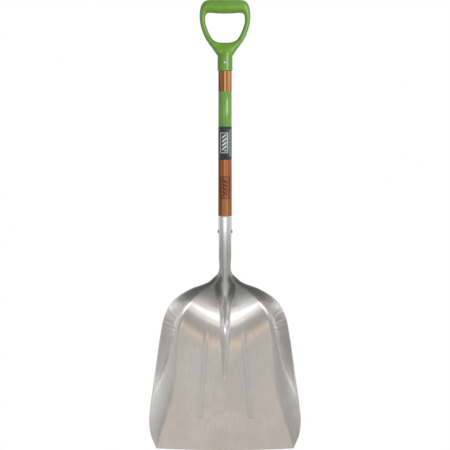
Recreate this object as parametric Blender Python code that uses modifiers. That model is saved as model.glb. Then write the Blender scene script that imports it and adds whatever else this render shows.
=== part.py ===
"""Grain scoop shovel: a stamped aluminium scoop on a round ash shaft with a moulded D-grip.

Metres, +Z up along the shaft. The shaft's axis is the Z axis, the hollow of the scoop faces -Y, and the
origin is the underside of the grip's crossbar, where the shovel hangs on a hook.
"""

import math

import bmesh
import bpy
import numpy as np

GAP = 0.0003  # clearance between neighbouring pieces

# Levels along the shaft
GRIP_MOUTH_Z = -0.1465
TENON_END_Z = -0.0860
BAND_TOP_Z = -0.1989
LABEL_TOP_Z = -0.2889
LABEL_END_Z = -0.3741
SOCKET_TOP_Z = -0.5173
SHAFT_END_Z = -0.6560

# Shaft and its wraps
SHAFT_RADIUS_UP = 0.0170
SHAFT_RADIUS_LOW = 0.0173
TENON_RADIUS = 0.0158
TENON_END_RADIUS = 0.0134
SHAFT_END_RADIUS = 0.0095
SHAFT_FULL_Z = -0.430  # from here down the shaft has its lower radius
SHAFT_SEAT_ZS = (-0.540, -0.552, -0.566, -0.580, -0.625, -0.634, -0.645)
TENON_CHAMFER = 0.0015
SHOULDER_CHAMFER = 0.0005
SHAFT_END_CHAMFER = 0.003
WRAP_THICKNESS = 0.0003
ROUND_STEPS = 32

# Rivets
SOCKET_RIVET_Z = -0.5570
GRIP_RIVET_Z = -0.1244
RIVET_SHANK_RADIUS = 0.0024
RIVET_HEAD_RADIUS = 0.0048
SOCKET_HEAD_HEIGHT = 0.0021
HEAD_SEAT = 0.0001
PIN_REACH = 0.03
GRIP_HEAD_HEIGHT = 0.0014
HEAD_RINGS = 4
RIVET_STEPS = 16

# D-grip
COLLAR_RADIUS = 0.0192
COLLAR_EDGE = 0.0008
COLLAR_DOME = (
    (0.0, -0.0880), (0.0090, -0.0885), (0.0150, -0.0930), (0.0178, -0.1010), (COLLAR_RADIUS, -0.1120),
)
GRIP_SECTION_POINTS = 14
GRIP_STEPS_PER_STATION = 2
GRIP_ROUNDNESS = 2.3  # exponent of the superellipse of its sections

# Scoop sheet
SHEET = 0.0020
FLOOR_LIFT = math.tan(math.radians(17))  # the floor's tilt towards the user against the shaft
FLOOR_CROSS_Z = -0.947  # where the floor's plane meets the shaft's axis
FRONT_EDGE_Z = -1.1138
FRONT_BOW = 0.0044  # how far the front edge's corners lie above its middle
WIDEST_Z = -1.0366
RIM_LEAN = 0.0008  # how far the sheet's back edge stands outside its front edge
HEEL_SPREAD = 0.80
HEEL_ROUND = 0.050
WALL_CURVE = 2.0  # exponent of the side walls' rise from the crease to the rim
EVEN_COLUMNS_Z = -0.660
SET_COLUMNS_Z = -0.740
FLARE_END_Z = -0.700
FLARE_CREASE = 0.60
RIB_HEIGHT = 0.0008
RIB_HALF_WIDTH = 0.0085
RIB_ROOM = 0.3  # most of the room between frog and wall that half a rib's columns take
RIB_START_Z = -0.800
RIB_FULL_Z = -0.850
RIB_END_Z = -1.0316
RIB_END_LENGTH = 0.005
SOCKET_BLEND_TOP_Z = -0.643
SOCKET_BLEND_END_Z = -0.692

# Stations down the scoop: (z, value)
SOCKET_RADIUS = (
    (-0.5173, 0.01745), (-0.5400, 0.01740), (-0.5520, 0.01690), (-0.5800, 0.01600),
    (-0.6250, 0.01595), (-0.6340, 0.01520), (-0.6450, 0.01470), (-0.7000, 0.01470),
)
SEAM_ANGLE = ((-0.5173, 174), (-0.5700, 173), (-0.6000, 158), (-0.6250, 128), (-0.6450, 94), (-0.7000, 90))
HALF_WIDTH = (
    (-0.6430, 0.0147), (-0.6555, 0.0156), (-0.6632, 0.0183), (-0.6708, 0.0233), (-0.6785, 0.0316),
    (-0.6862, 0.0405), (-0.6939, 0.0576), (-0.7015, 0.0797), (-0.7066, 0.0908), (-0.7220, 0.1165),
    (-0.7373, 0.1334), (-0.7527, 0.1445), (-0.7834, 0.1573), (-0.8294, 0.1656), (-0.9215, 0.1785),
    (-1.0136, 0.1915), (-1.0366, 0.1937), (-1.0596, 0.1922), (-1.0750, 0.1893), (-1.0903, 0.1837),
    (-1.1057, 0.1766), (-1.1100, 0.1747),
)
VALLEY_Y = (
    (-0.6430, 0.0000), (-0.6700, 0.0025), (-0.6940, 0.0090), (-0.7200, 0.0230), (-0.7430, 0.0325),
    (-0.7600, 0.0365), (-0.7800, 0.0384), (-0.8000, 0.0375), (-0.8200, 0.0350), (-0.8400, 0.0312),
    (-0.8600, 0.0263), (-0.8800, 0.02048),
)
RIM_Y = (
    (-0.6430, 0.0000), (-0.6700, -0.0040), (-0.6940, -0.0110), (-0.7200, -0.0170), (-0.7800, -0.0232),
    (-0.9000, -0.0330), (-1.1100, -0.04983),
)
CREASE = (
    (-0.6430, 0.0150), (-0.6900, 0.0300), (-0.7070, 0.0520), (-0.7400, 0.0880), (-0.7800, 0.1080),
    (-0.8300, 0.1180), (-0.9300, 0.1220), (-1.0290, 0.1420), (-1.1100, 0.1742),
)
FROG_FOOT = (
    (-0.6430, 0.0147), (-0.6940, 0.0290), (-0.7100, 0.0282), (-0.7230, 0.0255), (-0.7360, 0.0210),
    (-0.7480, 0.0172), (-0.7620, 0.0150), (-0.7960, 0.0142), (-0.8470, 0.0118), (-0.8860, 0.0095),
    (-0.9200, 0.0070), (-0.9370, 0.0065), (-1.1100, 0.0200),
)
RIB_X = ((-0.7000, 0.0400), (-0.8000, 0.0458), (-1.0316, 0.0650), (-1.1100, 0.0716))
FROG_CREST_Y = (
    (-0.6430, -0.0147), (-0.6940, -0.0150), (-0.7180, -0.0140), (-0.7330, -0.0095), (-0.7460, -0.0010),
    (-0.7580, 0.0085), (-0.7700, 0.0175), (-0.7820, 0.0245), (-0.7960, 0.0288), (-0.8110, 0.0302),
    (-0.8470, 0.0260), (-0.8860, 0.0163), (-0.9370, 0.00306),
)
FROG_ROUNDNESS = ((-0.6430, 1.50), (-0.6940, 1.45), (-0.7250, 1.25), (-0.7600, 1.05), (-0.8000, 1.0))
ROW_SPANS = (
    (-0.5173, 2), (-0.5520, 2), (-0.5800, 4), (-0.6250, 3), (-0.6450, 14), (-0.7060, 9), (-0.7600, 7),
    (-0.8300, 3), (-0.9370, 3), (RIB_END_Z, 1), (RIB_END_Z - RIB_END_LENGTH, 5), (FRONT_EDGE_Z, 0),
)
FROG_COLUMNS = 8
INNER_COLUMNS = 2
RIB_COLUMNS = 2
OUTER_COLUMNS = 2
WALL_COLUMNS = 4
HALF_POINTS = FROG_COLUMNS + INNER_COLUMNS + RIB_COLUMNS + OUTER_COLUMNS + WALL_COLUMNS + 1

# Stations round half of the grip's loop: inner x, z, outer x, z, half depth
GRIP_STATIONS = (
    (0.0000, 0.0000, 0.0000, 0.0357, 0.0150),
    (0.0200, 0.0006, 0.0200, 0.0357, 0.0149),
    (0.0360, 0.0018, 0.0390, 0.0355, 0.0145),
    (0.0455, 0.0008, 0.0510, 0.0328, 0.0140),
    (0.0495, -0.0045, 0.0597, 0.0235, 0.0130),
    (0.0506, -0.0125, 0.0640, 0.0085, 0.0120),
    (0.0504, -0.0205, 0.0650, -0.0065, 0.0115),
    (0.0487, -0.0290, 0.0638, -0.0220, 0.0113),
    (0.0440, -0.0425, 0.0600, -0.0390, 0.0113),
    (0.0368, -0.0575, 0.0523, -0.0590, 0.0116),
    (0.0290, -0.0675, 0.0428, -0.0750, 0.0126),
    (0.0182, -0.0724, 0.0312, -0.0905, 0.0140),
    (0.0090, -0.0737, 0.0170, -0.1100, 0.0158),
    (0.0000, -0.0738, 0.0000, -0.1180, 0.0168),
)

ALUMINIUM = ((0.50, 0.48, 0.46), 0.32, 1.0)
STEEL = ((0.42, 0.42, 0.42), 0.35, 1.0)
ASH = ((0.42, 0.19, 0.07), 0.40, 0.0)
GREEN = ((0.155, 0.36, 0.045), 0.35, 0.0)
BLACK = ((0.03, 0.035, 0.035), 0.45, 0.0)


def clear_scene():
    for obj in list(bpy.data.objects):
        bpy.data.objects.remove(obj, do_unlink=True)


def collection(name):
    made = bpy.data.collections.new(name)
    bpy.context.scene.collection.children.link(made)
    return made


def material(name, finish):
    colour, roughness, metallic = finish
    made = bpy.data.materials.new(name)
    made.use_nodes = True
    shader = made.node_tree.nodes["Principled BSDF"]
    shader.inputs["Base Color"].default_value = (*colour, 1.0)
    shader.inputs["Roughness"].default_value = roughness
    shader.inputs["Metallic"].default_value = metallic
    return made


def smooth_through(stations):
    """A function that runs smoothly through (position, value) stations and never overshoots them."""
    at, value = np.array(sorted(stations)).T
    step = np.diff(at)
    slope = np.diff(value) / step
    before, after = slope[:-1], slope[1:]
    turning = before * after <= 0
    total = np.where(turning, 1.0, before + after)
    inner = np.where(turning, 0.0, 2 * before * after / total)
    tangent = np.concatenate([slope[:1], inner, slope[-1:]])

    def value_at(position):
        position = np.clip(position, at[0], at[-1])
        i = np.clip(np.searchsorted(at, position, side="right") - 1, 0, len(step) - 1)
        t = (position - at[i]) / step[i]
        start = (1 + 2 * t) * (1 - t) ** 2 * value[i] + t * (1 - t) ** 2 * step[i] * tangent[i]
        end = t * t * (3 - 2 * t) * value[i + 1] + t * t * (t - 1) * step[i] * tangent[i + 1]
        return start + end

    return value_at


def smooth_step(value, start, end):
    t = np.clip((value - start) / (end - start), 0.0, 1.0)
    return t * t * (3 - 2 * t)


def mesh_object(name, points, faces, home, finish=None):
    mesh = bpy.data.meshes.new(name)
    mesh.from_pydata([tuple(map(float, point)) for point in points], [], faces)
    mesh.update()
    made = bpy.data.objects.new(name, mesh)
    home.objects.link(made)
    if finish:
        mesh.materials.append(finish)
        mesh.shade_smooth()
        mesh.set_sharp_from_angle(angle=math.radians(40))
    return made


def grid_faces(rows, columns):
    """Quads between rows of points, each row running from -X to +X and the rows running down."""
    faces = []
    for row in range(rows - 1):
        for column in range(columns - 1):
            corner = row * columns + column
            faces.append((corner, corner + columns, corner + columns + 1, corner + 1))
    return faces


def turned(name, profile, home, finish=None, steps=ROUND_STEPS, ring=False):
    """A solid of revolution about Z from an (r, z) profile that runs down its outer side.

    A ring's profile is closed, so its last point joins its first.
    """
    points = [(radius, 0.0, z) for radius, z in profile]
    made = mesh_object(name, points, [], home, finish)
    work = bmesh.new()
    work.from_mesh(made.data)
    work.verts.ensure_lookup_table()
    for first, second in zip(work.verts[:-1], work.verts[1:]):
        work.edges.new((first, second))
    if ring:
        work.edges.new((work.verts[-1], work.verts[0]))
    work.to_mesh(made.data)
    work.free()
    screw = made.modifiers.new("Turn", "SCREW")
    screw.steps = screw.render_steps = steps
    screw.use_merge_vertices = True
    screw.merge_threshold = 0.00005
    screw.use_smooth_shade = True
    return made


def as_mesh(obj):
    """Replaces an object's mesh by its evaluated one, so that its modifiers are applied."""
    graph = bpy.context.evaluated_depsgraph_get()
    baked = bpy.data.meshes.new_from_object(obj.evaluated_get(graph))
    obj.modifiers.clear()
    obj.data = baked
    return obj


def make_cutter(obj):
    obj.hide_render = True
    obj.display_type = "WIRE"
    return obj


def boolean(obj, other, operation):
    made = obj.modifiers.new(other.name, "BOOLEAN")
    made.operation = operation
    made.object = other
    made.solver = "EXACT"


def pin_cutter(name, radius, half_length, z, along, home):
    """A plain cylinder across the shaft at level z, along X or Y."""
    mesh = bpy.data.meshes.new(name)
    work = bmesh.new()
    bmesh.ops.create_cone(
        work, cap_ends=True, segments=RIVET_STEPS, radius1=radius, radius2=radius, depth=2 * half_length
    )
    work.to_mesh(mesh)
    work.free()
    made = bpy.data.objects.new(name, mesh)
    home.objects.link(made)
    made.location = (0, 0, z)
    made.rotation_euler = (0, math.pi / 2, 0) if along == "X" else (math.pi / 2, 0, 0)
    return make_cutter(made)


# Scoop


def floor_y(z):
    """The plane of the scoop's floor."""
    return (z - FLOOR_CROSS_Z) * FLOOR_LIFT


def rib_rise(x, z, rib_x):
    """Two low ribs that stiffen the floor and end short of the front edge."""
    across = np.cos(math.pi / 2 * np.clip(np.abs(x - rib_x) / RIB_HALF_WIDTH, 0.0, 1.0)) ** 2
    start = smooth_step(z, RIB_START_Z, RIB_FULL_Z)
    end = smooth_step(z, RIB_END_Z - RIB_END_LENGTH, RIB_END_Z)
    return RIB_HEIGHT * across * start * end


class ScoopShape:
    """The stations of the scoop as smooth functions of z."""

    def __init__(self):
        self.socket_radius = smooth_through(SOCKET_RADIUS)
        self.seam_angle = smooth_through(SEAM_ANGLE)
        self.half_width = smooth_through(HALF_WIDTH)
        self.valley_y = smooth_through(VALLEY_Y)
        self.rim_y = smooth_through(RIM_Y)
        self.crease = smooth_through(CREASE)
        self.foot = smooth_through(FROG_FOOT)
        self.rib_x = smooth_through(RIB_X)
        self.crest_y = smooth_through(FROG_CREST_Y)
        self.roundness = smooth_through(FROG_ROUNDNESS)

    def dish_y(self, x, z, crease, rim_x):
        """The dish without its frog: the floor's plane, the back wall over it, and the side walls."""
        climb = HEEL_SPREAD * (np.hypot(x, HEEL_ROUND) - HEEL_ROUND)
        lower = z - climb
        back = np.where(lower > VALLEY_Y[-1][0], floor_y(lower) - self.valley_y(lower), 0.0)
        inner = floor_y(z) - back
        share = np.clip((x - crease) / (rim_x - crease), 0.0, 1.0) ** WALL_CURVE
        return inner + share * (self.rim_y(z) - inner)

    def frog_rise(self, x, z, foot, valley):
        """The frog: the hollow ridge that carries the socket's front down into the floor."""
        height = np.maximum(valley - self.crest_y(z), 0.0)
        share = np.clip(x / foot, 0.0, 1.0) ** self.roundness(z)
        return height * np.cos(math.pi / 2 * share) ** 2

    def columns(self, z, foot, crease, rim_x):
        """Places across half of a row, from the middle to the rim, and the rib's middle."""
        half = min(RIB_HALF_WIDTH, RIB_ROOM * (crease - foot))
        rib_x = float(np.clip(self.rib_x(z), foot + 1.2 * half, crease - 1.2 * half))
        spans = (
            (0.0, foot, FROG_COLUMNS),
            (foot, rib_x - half, INNER_COLUMNS),
            (rib_x - half, rib_x + half, RIB_COLUMNS),
            (rib_x + half, crease, OUTER_COLUMNS),
            (crease, rim_x, WALL_COLUMNS),
        )
        places = [np.linspace(start, end, steps, endpoint=False) for start, end, steps in spans]
        placed = np.concatenate([*places, [rim_x]])
        even = np.linspace(0.0, rim_x, len(placed))
        share = smooth_step(z, EVEN_COLUMNS_Z, SET_COLUMNS_Z)
        return even + share * (placed - even), rib_x

    def dish_half(self, row_z, rim_x):
        """Half of a row across the dish, as x, y and z."""
        bow = FRONT_BOW * smooth_step(row_z, WIDEST_Z, FRONT_EDGE_Z)
        room = FLARE_CREASE + (1 - FLARE_CREASE) * smooth_step(row_z, FLARE_END_Z, SET_COLUMNS_Z)
        crease = min(self.crease(row_z + bow), room * rim_x)
        foot = min(self.foot(row_z), 0.9 * crease)
        x, rib_x = self.columns(row_z, foot, crease, rim_x)
        z = row_z + bow * (x / rim_x) ** 2
        dish = self.dish_y(x, z, crease, rim_x)
        frog = self.frog_rise(x, row_z, foot, self.dish_y(0.0, row_z, crease, rim_x))
        return x, dish - frog - rib_rise(x, z, rib_x), z

    def socket_half(self, row_z):
        """Half of a row round the socket, from its front to its seam."""
        angle = np.radians(self.seam_angle(row_z)) * np.linspace(0, 1, HALF_POINTS)
        radius = self.socket_radius(row_z)
        return radius * np.sin(angle), -radius * np.cos(angle), np.full(HALF_POINTS, row_z)

    def half_row(self, row_z):
        socket = np.array(self.socket_half(row_z)).T
        blend = smooth_step(row_z, SOCKET_BLEND_TOP_Z, SOCKET_BLEND_END_Z)
        if blend == 0:
            return socket
        bow = FRONT_BOW * smooth_step(row_z, WIDEST_Z, FRONT_EDGE_Z)
        tube_x = self.socket_radius(row_z)
        rim_x = tube_x + (self.half_width(row_z + bow) - tube_x) / blend - RIM_LEAN
        return socket + blend * (np.array(self.dish_half(row_z, rim_x)).T - socket)


def row_levels():
    levels = []
    for (start, steps), (end, _) in zip(ROW_SPANS[:-1], ROW_SPANS[1:]):
        levels.extend(np.linspace(start, end, steps, endpoint=False))
    return [*levels, FRONT_EDGE_Z]


def make_scoop(home, cutters, finish):
    shape = ScoopShape()
    rows = []
    for row_z in row_levels():
        half = shape.half_row(row_z)
        left = half[:0:-1] * (-1, 1, 1)
        rows.append(np.concatenate([left, half]))
    faces = grid_faces(len(rows), len(rows[0]))
    scoop = mesh_object("scoop", np.concatenate(rows), faces, home, finish)
    shell = scoop.modifiers.new("Sheet", "SOLIDIFY")
    shell.thickness = SHEET
    shell.offset = -1
    shell.use_even_offset = True
    hole = pin_cutter("socket_hole", RIVET_SHANK_RADIUS + GAP, PIN_REACH, SOCKET_RIVET_Z, "X", cutters)
    boolean(scoop, hole, "DIFFERENCE")
    return scoop


# Shaft, wraps and rivets


def make_shaft(home, cutters, finish):
    """A round ash shaft with a tapered tenon in the grip and a shouldered, tapering end in the socket."""
    socket_radius = smooth_through(SOCKET_RADIUS)
    seat = SHEET + GAP
    profile = [
        (0.0, TENON_END_Z),
        (TENON_END_RADIUS - TENON_CHAMFER, TENON_END_Z),
        (TENON_END_RADIUS, TENON_END_Z - TENON_CHAMFER),
        (TENON_RADIUS, GRIP_MOUTH_Z - GAP),
        (SHAFT_RADIUS_UP, GRIP_MOUTH_Z - GAP - SHOULDER_CHAMFER),
        (SHAFT_RADIUS_UP, LABEL_END_Z),
        (SHAFT_RADIUS_LOW, SHAFT_FULL_Z),
        (SHAFT_RADIUS_LOW, SOCKET_TOP_Z + GAP),
        (socket_radius(SOCKET_TOP_Z) - seat - GAP, SOCKET_TOP_Z + GAP),
    ]
    for z in SHAFT_SEAT_ZS:
        profile.append((socket_radius(z) - seat - GAP, z))
    profile += [
        (SHAFT_END_RADIUS, SHAFT_END_Z + SHAFT_END_CHAMFER),
        (SHAFT_END_RADIUS - SHAFT_END_CHAMFER, SHAFT_END_Z),
        (0.0, SHAFT_END_Z),
    ]
    shaft = turned("handle_shaft", profile, home, finish)
    for name, z, along in (("shaft_hole_low", SOCKET_RIVET_Z, "X"), ("shaft_hole_up", GRIP_RIVET_Z, "Y")):
        boolean(shaft, pin_cutter(name, RIVET_SHANK_RADIUS + GAP, PIN_REACH, z, along, cutters), "DIFFERENCE")
    return shaft


def make_wrap(name, top_z, end_z, home, finish):
    """A thin printed sleeve round the shaft."""
    inner = SHAFT_RADIUS_UP + GAP
    outer = inner + WRAP_THICKNESS
    profile = [(inner, top_z), (outer, top_z), (outer, end_z), (inner, end_z)]
    return turned(name, profile, home, finish, ring=True)


def make_rivet(name, z, along, reach, head_height, home, finish):
    """A round-headed through rivet. reach is where its heads begin, from the shaft's axis."""
    arc = [math.pi / 2 * ring / HEAD_RINGS for ring in range(HEAD_RINGS + 1)]
    dome = [(RIVET_HEAD_RADIUS * math.sin(turn), reach + head_height * math.cos(turn)) for turn in arc]
    half = dome + [(RIVET_SHANK_RADIUS, reach)]
    profile = half + [(radius, -height) for radius, height in reversed(half)]
    rivet = turned(name, profile, home, finish, RIVET_STEPS)
    rivet.location = (0, 0, z)
    rivet.rotation_euler = (0, math.pi / 2, 0) if along == "X" else (math.pi / 2, 0, 0)
    return rivet


# D-grip


def grip_section(station):
    """A superellipse between the loop's inner and outer edges."""
    inner_x, inner_z, outer_x, outer_z, depth = station
    points = []
    for step in range(GRIP_SECTION_POINTS):
        turn = 2 * math.pi * step / GRIP_SECTION_POINTS
        power = 2 / GRIP_ROUNDNESS
        across = math.copysign(abs(math.cos(turn)) ** power, math.cos(turn))
        deep = math.copysign(abs(math.sin(turn)) ** power, math.sin(turn))
        share = (1 + across) / 2
        x = inner_x + share * (outer_x - inner_x)
        z = inner_z + share * (outer_z - inner_z)
        points.append((x, depth * deep, z))
    return points


def grip_loop(home):
    """The D loop: half of it lofted through its stations, then mirrored."""
    stations = np.array(GRIP_STATIONS)
    last = len(stations) - 1
    tangent = np.gradient(stations, axis=0)
    sections = []
    for step in range(last * GRIP_STEPS_PER_STATION + 1):
        place = step / GRIP_STEPS_PER_STATION
        i = min(int(place), last - 1)
        t = place - i
        start = (1 + 2 * t) * (1 - t) ** 2 * stations[i] + t * (1 - t) ** 2 * tangent[i]
        end = t * t * (3 - 2 * t) * stations[i + 1] + t * t * (t - 1) * tangent[i + 1]
        sections.append(grip_section(start + end))
    count = GRIP_SECTION_POINTS
    faces = []
    for row in range(len(sections) - 1):
        for column in range(count):
            beside = (column + 1) % count
            here, there = row * count, (row + 1) * count
            faces.append((here + column, here + beside, there + beside, there + column))
    loop = mesh_object("grip_loop", sum(sections, []), faces, home)
    mirror = loop.modifiers.new("Mirror", "MIRROR")
    mirror.use_axis[0] = True
    mirror.merge_threshold = 0.00005
    mirror.use_clip = True
    return make_cutter(as_mesh(loop))


def make_grip(home, cutters, finish):
    """The collar turned round the shaft, joined to the D loop, with a blind tapered bore."""
    collar = [*COLLAR_DOME, (COLLAR_RADIUS, GRIP_MOUTH_Z + COLLAR_EDGE)]
    collar += [(COLLAR_RADIUS - COLLAR_EDGE, GRIP_MOUTH_Z), (0.0, GRIP_MOUTH_Z)]
    grip = as_mesh(turned("d_grip", collar, home, finish))
    boolean(grip, grip_loop(cutters), "UNION")
    bore = [
        (0.0, TENON_END_Z + GAP),
        (TENON_END_RADIUS + GAP, TENON_END_Z + GAP),
        (TENON_RADIUS + GAP, GRIP_MOUTH_Z),
        (TENON_RADIUS + GAP, GRIP_MOUTH_Z - PIN_REACH),
        (0.0, GRIP_MOUTH_Z - PIN_REACH),
    ]
    boolean(grip, make_cutter(as_mesh(turned("grip_bore", bore, cutters))), "DIFFERENCE")
    hole = pin_cutter("grip_hole", RIVET_SHANK_RADIUS + GAP, PIN_REACH, GRIP_RIVET_Z, "Y", cutters)
    boolean(grip, hole, "DIFFERENCE")
    return grip


def main():
    clear_scene()
    home = collection("grain_scoop_shovel")
    cutters = collection("cutters")
    green = material("green_plastic", GREEN)
    steel = material("rivet_steel", STEEL)
    make_scoop(home, cutters, material("aluminium", ALUMINIUM))
    make_shaft(home, cutters, material("ash", ASH))
    make_grip(home, cutters, green)
    make_wrap("colour_band", BAND_TOP_Z, LABEL_TOP_Z + GAP / 2, home, green)
    make_wrap("label_wrap", LABEL_TOP_Z - GAP / 2, LABEL_END_Z, home, material("label_film", BLACK))
    socket_reach = dict(SOCKET_RADIUS)[-0.5520] + GAP + HEAD_SEAT
    make_rivet("socket_rivet", SOCKET_RIVET_Z, "X", socket_reach, SOCKET_HEAD_HEIGHT, home, steel)
    make_rivet("grip_rivet", GRIP_RIVET_Z, "Y", COLLAR_RADIUS + GAP, GRIP_HEAD_HEIGHT, home, steel)


main()
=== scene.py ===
"""Looks of the grain scoop shovel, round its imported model. Metres, +Z up the shaft, -Y towards the user."""
import math

import bpy
import numpy as np
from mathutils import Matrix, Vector


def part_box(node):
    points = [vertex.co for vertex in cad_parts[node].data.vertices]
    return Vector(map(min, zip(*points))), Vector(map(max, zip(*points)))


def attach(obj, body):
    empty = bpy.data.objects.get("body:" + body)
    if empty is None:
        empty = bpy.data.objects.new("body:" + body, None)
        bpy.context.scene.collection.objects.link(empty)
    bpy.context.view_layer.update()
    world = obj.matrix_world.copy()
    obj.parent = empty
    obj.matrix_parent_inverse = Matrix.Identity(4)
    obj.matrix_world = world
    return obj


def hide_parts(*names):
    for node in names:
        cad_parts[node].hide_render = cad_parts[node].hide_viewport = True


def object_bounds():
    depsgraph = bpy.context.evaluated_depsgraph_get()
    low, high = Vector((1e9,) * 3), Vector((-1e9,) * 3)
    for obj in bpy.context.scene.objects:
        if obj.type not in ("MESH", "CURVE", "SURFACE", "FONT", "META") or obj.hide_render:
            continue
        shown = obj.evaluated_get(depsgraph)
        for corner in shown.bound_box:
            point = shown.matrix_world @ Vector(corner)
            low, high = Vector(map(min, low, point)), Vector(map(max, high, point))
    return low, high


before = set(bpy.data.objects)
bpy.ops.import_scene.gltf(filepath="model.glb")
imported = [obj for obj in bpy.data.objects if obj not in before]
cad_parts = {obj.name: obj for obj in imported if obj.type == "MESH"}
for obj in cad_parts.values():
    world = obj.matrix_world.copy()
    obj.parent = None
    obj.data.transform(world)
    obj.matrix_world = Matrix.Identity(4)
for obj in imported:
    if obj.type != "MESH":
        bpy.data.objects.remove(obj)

CAD_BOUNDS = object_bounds()

# Places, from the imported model's boxes
SHAFT_LOW, SHAFT_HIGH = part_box("handle_shaft")
BAND_LOW, BAND_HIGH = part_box("colour_band")
LABEL_LOW, LABEL_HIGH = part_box("label_wrap")
SOCKET_RIVET_LOW, SOCKET_RIVET_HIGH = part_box("socket_rivet")
GRIP_RIVET_LOW, GRIP_RIVET_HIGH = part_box("grip_rivet")
GRIP_MOUTH_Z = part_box("d_grip")[0][2]
SOCKET_TOP_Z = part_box("scoop")[1][2]
SOCKET_RIVET_Z = (SOCKET_RIVET_LOW[2] + SOCKET_RIVET_HIGH[2]) / 2
GRIP_RIVET_Z = (GRIP_RIVET_LOW[2] + GRIP_RIVET_HIGH[2]) / 2

# Shaft and wraps
GAP = 0.0003
SHAFT_RADIUS_UP = 0.0170
SHAFT_RADIUS_LOW = 0.0173
TENON_RADIUS = 0.0158
TENON_END_RADIUS = 0.0134
SHAFT_END_RADIUS = 0.0095
SHAFT_FULL_Z = -0.430
SHAFT_SEAT_ZS = (-0.540, -0.552, -0.566, -0.580, -0.625, -0.634, -0.645)
TENON_CHAMFER = 0.0015
SHOULDER_CHAMFER = 0.0005
SHAFT_END_CHAMFER = 0.003
SHAFT_SPACING = 0.02
BAND_RADIUS = 0.0172
LABEL_RADIUS = 0.0174
WRAP_EDGE = 0.00012
WRAP_LIFT = 0.00002
ROUND_STEPS = 96

# Rivets
RIVET_SHANK_RADIUS = 0.0024
RIVET_HEAD_RADIUS = 0.0048
RIVET_EDGE = 0.0001
RIVET_ROUND_STEPS = 48
SOCKET_RIVET_HEAD = 0.0021
GRIP_RIVET_HEAD = 0.0014
DOME_STEPS = 10

# D-grip
COLLAR_RADIUS = 0.0192
COLLAR_DOME = ((0, -0.0880), (0.0090, -0.0885), (0.0150, -0.0930), (0.0178, -0.1010))
COLLAR_SHOULDER_Z = -0.1120
COLLAR_EDGE_HEIGHT = 0.0010
COLLAR_EDGE_DEPTH = 0.0008
BORE_RUN_OUT = 0.01
GRIP_ROUNDNESS = 2.3
GRIP_SECTION_POINTS = 40
GRIP_STEPS_PER_STATION = 8
GRIP_VOXEL = 0.0011

# Scoop sheet
CAD_SHEET = 0.0020
SHEET = 0.0018
FLOOR_LIFT = math.tan(math.radians(17))
FLOOR_CROSS_Z = -0.947
FRONT_EDGE_Z = -1.1138
FRONT_BOW = 0.0044
WIDEST_Z = -1.0366
RIM_LEAN = 0.0010
HEEL_SPREAD = 0.80
HEEL_ROUND = 0.050
WALL_CURVE = 2.0
EVEN_COLUMNS_Z = -0.660
SET_COLUMNS_Z = -0.740
FLARE_END_Z = -0.700
FLARE_CREASE = 0.60
RIB_HEIGHT = 0.0008
RIB_HALF_WIDTH = 0.0085
RIB_ROOM = 0.3
RIB_START_Z = -0.800
RIB_FULL_Z = -0.850
RIB_END_Z = -1.0316
RIB_END_LENGTH = 0.005
SOCKET_BLEND_TOP_Z = -0.643
SOCKET_BLEND_END_Z = -0.692
EDGE_ROUNDING = 0.00055

SOCKET_RADIUS = (
    (-0.5173, 0.01745), (-0.5400, 0.01740), (-0.5520, 0.01690), (-0.5800, 0.01600),
    (-0.6250, 0.01595), (-0.6340, 0.01520), (-0.6450, 0.01470), (-0.7000, 0.01470),
)
SEAM_ANGLE = ((-0.5173, 174), (-0.5700, 173), (-0.6000, 158), (-0.6250, 128), (-0.6450, 94), (-0.7000, 90))
HALF_WIDTH = (
    (-0.6430, 0.0147), (-0.6555, 0.0156), (-0.6632, 0.0183), (-0.6708, 0.0233), (-0.6785, 0.0316),
    (-0.6862, 0.0405), (-0.6939, 0.0576), (-0.7015, 0.0797), (-0.7066, 0.0908), (-0.7220, 0.1165),
    (-0.7373, 0.1334), (-0.7527, 0.1445), (-0.7834, 0.1573), (-0.8294, 0.1656), (-0.9215, 0.1785),
    (-1.0136, 0.1915), (-1.0366, 0.1937), (-1.0596, 0.1922), (-1.0750, 0.1893), (-1.0903, 0.1837),
    (-1.1057, 0.1766), (-1.1100, 0.1747),
)
VALLEY_Y = (
    (-0.6430, 0.0000), (-0.6700, 0.0025), (-0.6940, 0.0090), (-0.7200, 0.0230), (-0.7430, 0.0325),
    (-0.7600, 0.0365), (-0.7800, 0.0384), (-0.8000, 0.0375), (-0.8200, 0.0350), (-0.8400, 0.0312),
    (-0.8600, 0.0263), (-0.8800, 0.02048),
)
RIM_Y = (
    (-0.6430, 0.0000), (-0.6700, -0.0040), (-0.6940, -0.0110), (-0.7200, -0.0170), (-0.7800, -0.0232),
    (-0.9000, -0.0330), (-1.1100, -0.04983),
)
CREASE = (
    (-0.6430, 0.0150), (-0.6900, 0.0300), (-0.7070, 0.0520), (-0.7400, 0.0880), (-0.7800, 0.1080),
    (-0.8300, 0.1180), (-0.9300, 0.1220), (-1.0290, 0.1420), (-1.1100, 0.1742),
)
FROG_FOOT = (
    (-0.6430, 0.0147), (-0.6940, 0.0290), (-0.7100, 0.0282), (-0.7230, 0.0255), (-0.7360, 0.0210),
    (-0.7480, 0.0172), (-0.7620, 0.0150), (-0.7960, 0.0142), (-0.8470, 0.0118), (-0.8860, 0.0095),
    (-0.9200, 0.0070), (-0.9370, 0.0065), (-1.1100, 0.0200),
)
RIB_X = ((-0.7000, 0.0400), (-0.8000, 0.0458), (-1.0316, 0.0650), (-1.1100, 0.0716))
FROG_CREST_Y = (
    (-0.6430, -0.0147), (-0.6940, -0.0150), (-0.7180, -0.0140), (-0.7330, -0.0095), (-0.7460, -0.0010),
    (-0.7580, 0.0085), (-0.7700, 0.0175), (-0.7820, 0.0245), (-0.7960, 0.0288), (-0.8110, 0.0302),
    (-0.8470, 0.0260), (-0.8860, 0.0163), (-0.9370, 0.00306),
)
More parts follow.
